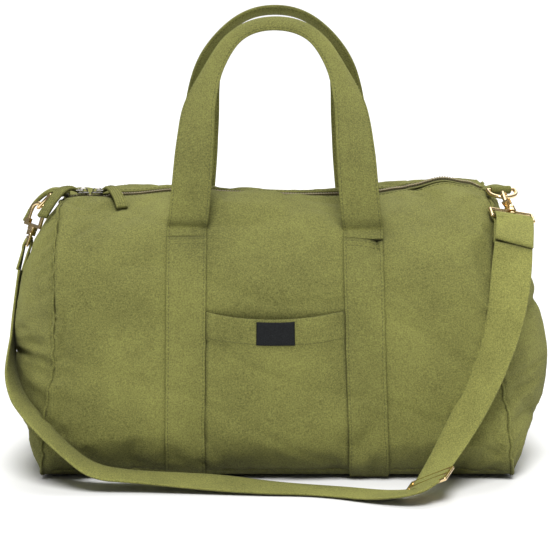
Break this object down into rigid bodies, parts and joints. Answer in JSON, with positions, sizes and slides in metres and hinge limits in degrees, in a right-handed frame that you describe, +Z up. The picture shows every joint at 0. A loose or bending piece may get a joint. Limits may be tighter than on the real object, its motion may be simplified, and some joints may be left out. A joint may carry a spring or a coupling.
{
  "type": "duffel bag",
  "caption": "Boxy canvas duffel bag with zipped top, arched strap handles, front patch pocket and a hooked, adjustable shoulder strap.",
  "frame": {"origin": "on the floor under the middle of the bag, at the underside of the straps it stands on", "axes": "+X along the bag towards its right end, -Y towards the front with the patch pocket, +Z up"},
  "size_m": [0.5102, 0.3674, 0.4455],
  "materials": {
    "canvas": "heavy olive green cotton canvas",
    "lining_tape": "woven binding tape",
    "handle_strap": "doubled canvas strap, edge stitched",
    "webbing": "flat olive green webbing",
    "zip_tape": "woven zip tape",
    "zip_metal": "antique dark brass",
    "fittings": "polished light gold plate",
    "label": "plain black woven label"
  },
  "bodies": {
    "bag": {"front_panel": "canvas", "back_panel": "canvas", "bottom_panel": "canvas", "left_end_panel": "canvas", "right_end_panel": "canvas", "front_pocket": "canvas", "left_zip_end_tab": "canvas", "right_zip_end_tab": "canvas", "left_ring_tab": "canvas", "right_ring_tab": "canvas", "left_seam_binding": "lining_tape", "right_seam_binding": "lining_tape", "left_strap_run": "handle_strap", "right_strap_run": "handle_strap", "shoulder_strap": "webbing", "shoulder_strap_upper": "webbing", "left_strap_fold": "webbing", "right_strap_fold": "webbing", "front_zip_tape": "zip_tape", "back_zip_tape": "zip_tape", "front_zip_teeth": "zip_metal", "back_zip_teeth": "zip_metal", "zip_stops": "zip_metal", "left_strap_loop": "fittings", "right_strap_loop": "fittings", "tri_glide": "fittings", "woven_label": "label"},
    "front_handle": {"front_handle": "handle_strap"},
    "back_handle": {"back_handle": "handle_strap"},
    "left_slider": {"left_slider": "zip_metal"},
    "right_slider": {"right_slider": "zip_metal"},
    "left_pull": {"left_pull_link": "zip_metal", "left_pull_strip": "canvas"},
    "right_pull": {"right_pull_link": "zip_metal", "right_pull_strip": "canvas"},
    "left_hook": {"left_hook_body": "fittings", "left_gate_pin": "fittings"},
    "right_hook": {"right_hook_body": "fittings", "right_gate_pin": "fittings"},
    "left_gate": {"left_hook_gate": "fittings"},
    "right_gate": {"right_hook_gate": "fittings"},
    "left_ring": {"left_d_ring": "fittings"},
    "right_ring": {"right_d_ring": "fittings"}
  },
  "joints": [
    {"name": "front_handle_swing", "type": "hinge", "parent": "bag", "child": "front_handle", "pos_m": [0, -0.0976, 0.2309], "axis": [1, 0, 0], "range_deg": [0, 100]},
    {"name": "back_handle_swing", "type": "hinge", "parent": "bag", "child": "back_handle", "pos_m": [0, 0.102, 0.2309], "axis": [1, 0, 0], "range_deg": [-100, 0]},
    {"name": "left_slider_slide", "type": "slide", "parent": "bag", "child": "left_slider", "axis": [1, 0, 0], "range_m": [-0.006, 0.0012]},
    {"name": "right_slider_slide", "type": "slide", "parent": "bag", "child": "right_slider", "axis": [1, 0, 0], "range_m": [0, 0.27]},
    {"name": "left_pull_swing", "type": "hinge", "parent": "left_slider", "child": "left_pull", "pos_m": [-0.19, 0.0022, 0.2688], "axis": [0, 1, 0], "range_deg": [0, 85]},
    {"name": "right_pull_swing", "type": "hinge", "parent": "right_slider", "child": "right_pull", "pos_m": [-0.176, 0.0022, 0.2688], "axis": [0, 1, 0], "range_deg": [-85, 0]},
    {"name": "left_hook_swivel", "type": "hinge", "parent": "bag", "child": "left_hook", "pos_m": [-0.23305, -0.0069, 0.25227], "axis": [0.3008, 0.0501, 0.9524], "range_deg": [-10, 15]},
    {"name": "right_hook_swivel", "type": "hinge", "parent": "bag", "child": "right_hook", "pos_m": [0.2237, -0.04693, 0.26693], "axis": [-0.1101, 0.8808, 0.4604], "range_deg": [0, 15]},
    {"name": "left_gate_hinge", "type": "hinge", "parent": "left_hook", "child": "left_gate", "pos_m": [-0.24372, -0.00484, 0.23978], "axis": [0.369, 0.9147, -0.1647], "range_deg": [0, 22], "stiffness_Nm_per_rad": 0.002, "springref_deg": -20.05},
    {"name": "right_gate_hinge", "type": "hinge", "parent": "right_hook", "child": "right_gate", "pos_m": [0.22921, -0.05707, 0.25506], "axis": [0.827, -0.1758, 0.5341], "range_deg": [0, 22], "stiffness_Nm_per_rad": 0.002, "springref_deg": -20.05},
    {"name": "left_ring_flip", "type": "hinge", "parent": "bag", "child": "left_ring", "pos_m": [-0.2205, -0.006, 0.265], "axis": [0, 0.9975, -0.0702], "range_deg": [-3, 2]},
    {"name": "right_ring_flip", "type": "hinge", "parent": "bag", "child": "right_ring", "pos_m": [0.2203, -0.0302, 0.2723], "axis": [0.98, 0.199, 0], "range_deg": [-2, 1.5]}
  ]
}
